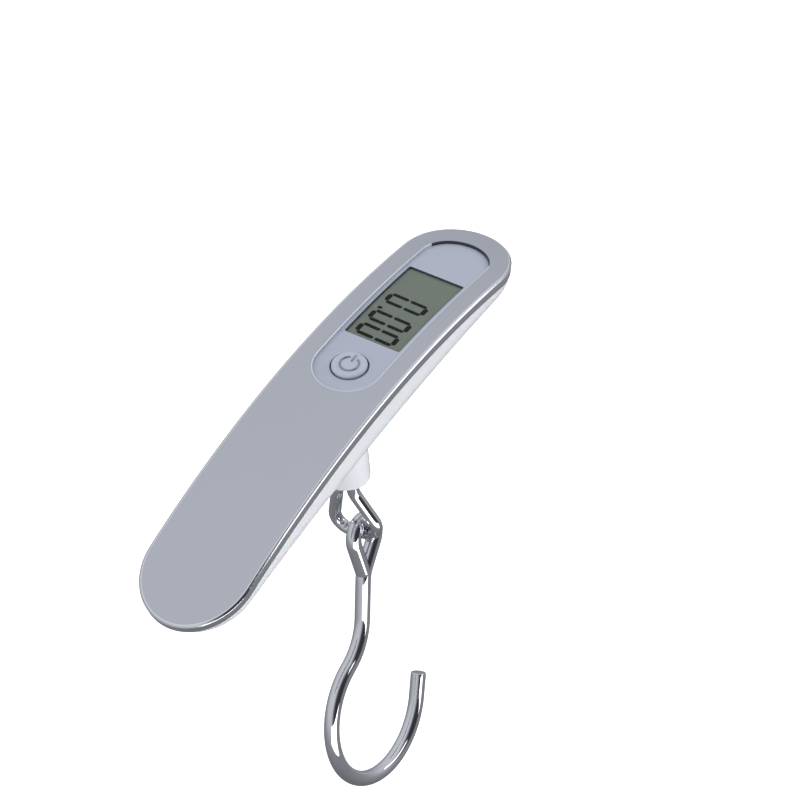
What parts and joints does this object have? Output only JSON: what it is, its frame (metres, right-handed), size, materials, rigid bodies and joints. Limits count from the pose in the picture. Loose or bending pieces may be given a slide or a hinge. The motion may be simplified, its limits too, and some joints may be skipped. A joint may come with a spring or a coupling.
{
  "type": "digital luggage scale",
  "caption": "Arched hand-held luggage scale with a sunk digital read-out, a power button, an oval neck and a swinging link and open hook.",
  "frame": {"origin": "centre of the face plate's top surface, on the load axis through the neck", "axes": "+X runs along the grip towards the display's far end, +Y across the grip, +Z is the face's outward normal at the origin; the neck, link and hook hang towards -Z"},
  "size_m": [0.1544, 0.0396, 0.1194],
  "materials": {
    "adhesive": "translucent film",
    "aluminium": "machined",
    "board": "solder mask",
    "button": "satin",
    "cell": "nickel plated",
    "ceramic": "fired",
    "chrome": "polished",
    "contact": "nickel plated",
    "crystal_can": "drawn",
    "epoxy": "cast",
    "frame": "moulded",
    "gauge": "polyimide foil",
    "holder": "moulded",
    "lcd": "polarised glass",
    "lens": "clear",
    "panel": "fine matt",
    "plate": "satin",
    "plunger": "moulded",
    "reflector": "matt",
    "resistor_black": "fired",
    "shell": "soft gloss",
    "steel": "zinc plated",
    "switch_case": "stamped",
    "wire_black": "insulation",
    "wire_green": "insulation",
    "wire_red": "insulation",
    "wire_white": "insulation",
    "zebra": "soft"
  },
  "bodies": {
    "grip": {"battery": "cell", "battery_contact_negative": "contact", "battery_contact_positive": "contact", "battery_holder": "holder", "board_screw_1": "steel", "board_screw_2": "steel", "board_screw_3": "steel", "board_screw_4": "steel", "button_switch": "switch_case", "capacitor": "ceramic", "circuit_board": "board", "controller_chip": "epoxy", "crystal": "crystal_can", "display_bezel": "panel", "display_lens": "lens", "door_hinge_pin": "steel", "front_frame": "frame", "gauge_wire_1": "wire_red", "gauge_wire_2": "wire_black", "gauge_wire_3": "wire_green", "gauge_wire_4": "wire_white", "hanger_screw": "steel", "housing_screw_1": "steel", "housing_screw_2": "steel", "housing_screw_3": "steel", "housing_screw_4": "steel", "lcd_holder": "holder", "lcd_panel": "lcd", "lcd_reflector": "reflector", "load_cell": "aluminium", "load_cell_screw_1": "steel", "load_cell_screw_2": "steel", "load_hanger": "steel", "load_pin": "chrome", "rear_housing": "shell", "resistor": "resistor_black", "strain_gauge_1": "gauge", "strain_gauge_2": "gauge", "strain_gauge_3": "gauge", "strain_gauge_4": "gauge", "trim_adhesive": "adhesive", "trim_plate": "plate", "zebra_strip_left": "zebra", "zebra_strip_right": "zebra"},
    "link": {"link": "chrome"},
    "hook": {"hook": "chrome"},
    "power_button": {"power_button": "button"},
    "switch_plunger": {"switch_plunger": "plunger"},
    "battery_cover": {"battery_cover": "shell"}
  },
  "joints": [
    {"name": "link_swing", "type": "hinge", "parent": "grip", "child": "link", "pos_m": [0, 0, -0.029], "axis": [1, 0, 0], "range_deg": [-2.5, 27.5]},
    {"name": "hook_swing", "type": "hinge", "parent": "link", "child": "hook", "pos_m": [0, -0.00666, -0.05211], "axis": [0, -0.9763, 0.2164], "range_deg": [-46, 103]},
    {"name": "button_press", "type": "slide", "parent": "grip", "child": "power_button", "axis": [-0.0404, 0, -0.9992], "range_m": [0, 0.00035], "stiffness_N_per_m": 800, "springref_m": -0.0004},
    {"name": "plunger_press", "type": "slide", "parent": "grip", "child": "switch_plunger", "axis": [-0.1395, 0, -0.9902], "range_m": [0, 0.00042]},
    {"name": "battery_cover_hinge", "type": "hinge", "parent": "grip", "child": "battery_cover", "pos_m": [0.0358, 0, -0.01618], "axis": [0, -1, 0], "range_deg": [0, 75]}
  ],
  "couplings": [
    {"joint": "plunger_press", "follows": "button_press", "ratio": 1}
  ]
}
